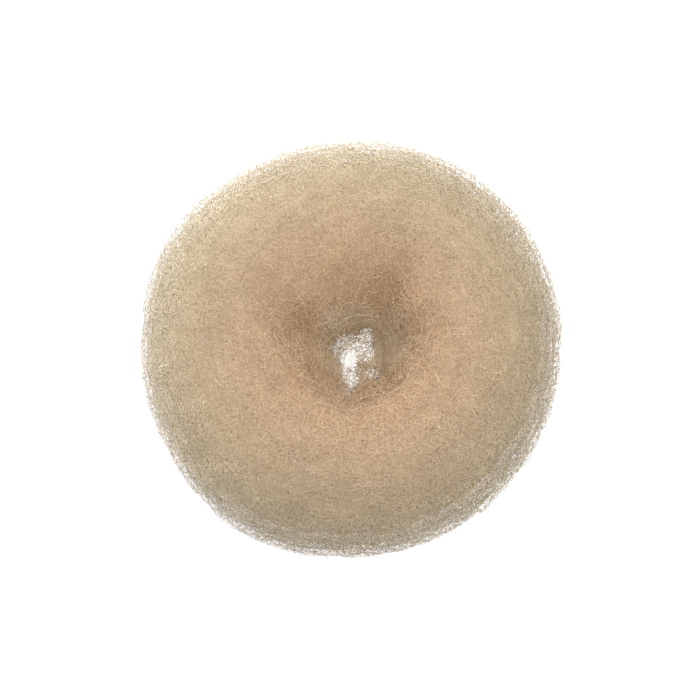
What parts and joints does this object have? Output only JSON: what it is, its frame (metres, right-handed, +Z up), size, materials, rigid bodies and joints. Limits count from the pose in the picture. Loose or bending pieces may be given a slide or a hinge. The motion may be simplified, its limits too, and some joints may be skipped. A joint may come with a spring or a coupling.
{
  "type": "hair donut bun maker",
  "caption": "Soft puffy ring of fine knitted nylon net rolled on itself, with a narrow puckered hole that a ponytail is pulled through.",
  "frame": {"origin": "middle of the ring, on the surface that it rests on", "axes": "+Z up along the way through the hole, -Y towards the front, the side that the tip of the puckered hole points to, +X to the right of a viewer in front"},
  "size_m": [0.0895, 0.0897, 0.038],
  "materials": {
    "nylon_net": "fine curly nylon monofilament knitted into an open net, semi-matt, beige, warmer in the hole and greyer at the rim"
  },
  "bodies": {
    "root": {"net_ring": "nylon_net"}
  },
  "joints": []
}
